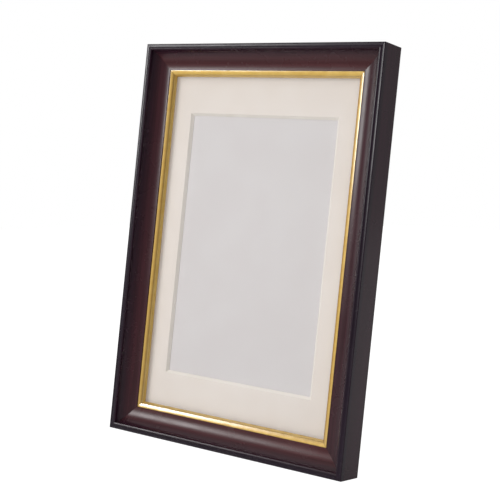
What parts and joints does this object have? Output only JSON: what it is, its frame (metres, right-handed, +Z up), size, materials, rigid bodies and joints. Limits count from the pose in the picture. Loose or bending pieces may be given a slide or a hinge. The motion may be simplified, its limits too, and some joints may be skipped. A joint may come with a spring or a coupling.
{
  "type": "picture frame",
  "caption": "Standing photo frame: mitred dark scoop moulding with a gilt slip, glass, bevelled mat, blank print, back board with turn buttons, folding strut and hanging ring.",
  "frame": {"origin": "on the floor under the middle of the whole standing frame", "axes": "+Z up, +X to the right as the picture is seen, the picture faces -Y and leans back towards +Y"},
  "size_m": [0.156, 0.0648, 0.2225],
  "materials": {
    "mahogany": "dark stained wood under semi-gloss lacquer",
    "gilt": "bright gold foil",
    "glass": "clear",
    "mat": "cream, matt, with a white core",
    "print": "plain light grey",
    "card": "plain brown",
    "board": "fibreboard faced with dark paper",
    "brass": "plated, satin",
    "steel": "zinc plated"
  },
  "bodies": {
    "frame": {"top_rail": "mahogany", "bottom_rail": "mahogany", "left_stile": "mahogany", "right_stile": "mahogany", "slip_top": "gilt", "slip_bottom": "gilt", "slip_left": "gilt", "slip_right": "gilt", "v_nail_top_left": "steel", "v_nail_top_right": "steel", "v_nail_bottom_left": "steel", "v_nail_bottom_right": "steel", "glass_pane": "glass", "mat_board": "mat", "print_sheet": "print", "backing_card": "card", "back_board": "board", "button_screw_left_upper": "steel", "button_screw_left_lower": "steel", "button_screw_right_upper": "steel", "button_screw_right_lower": "steel", "hinge_board_leaf": "brass", "hinge_pin": "steel", "board_rivet_left": "brass", "board_rivet_right": "brass", "hanger_strap": "steel", "hanger_rivet": "steel"},
    "strut": {"strut_leg": "board", "hinge_leg_leaf": "brass", "leg_rivet_left": "brass", "leg_rivet_right": "brass"},
    "button_left_upper": {"turn_button_left_upper": "brass"},
    "button_left_lower": {"turn_button_left_lower": "brass"},
    "button_right_upper": {"turn_button_right_upper": "brass"},
    "button_right_lower": {"turn_button_right_lower": "brass"},
    "ring": {"hanger_ring": "steel"}
  },
  "joints": [
    {"name": "strut_fold", "type": "hinge", "parent": "frame", "child": "strut", "pos_m": [0, 0.01066, 0.13745], "axis": [1, 0, 0], "range_deg": [-18, 0]},
    {"name": "turn_left_upper", "type": "hinge", "parent": "frame", "child": "button_left_upper", "pos_m": [-0.0723, 0.01389, 0.16496], "axis": [0, 0.9848, -0.1736], "range_deg": [-90, 90]},
    {"name": "turn_left_lower", "type": "hinge", "parent": "frame", "child": "button_left_lower", "pos_m": [-0.0723, -0.00556, 0.05466], "axis": [0, 0.9848, -0.1736], "range_deg": [-90, 90]},
    {"name": "turn_right_upper", "type": "hinge", "parent": "frame", "child": "button_right_upper", "pos_m": [0.0723, 0.01389, 0.16496], "axis": [0, 0.9848, -0.1736], "range_deg": [-90, 90]},
    {"name": "turn_right_lower", "type": "hinge", "parent": "frame", "child": "button_right_lower", "pos_m": [0.0723, -0.00556, 0.05466], "axis": [0, 0.9848, -0.1736], "range_deg": [-90, 90]},
    {"name": "ring_swing", "type": "hinge", "parent": "frame", "child": "ring", "pos_m": [0, 0.02093, 0.19453], "axis": [1, 0, 0], "range_deg": [-10, 170]}
  ]
}
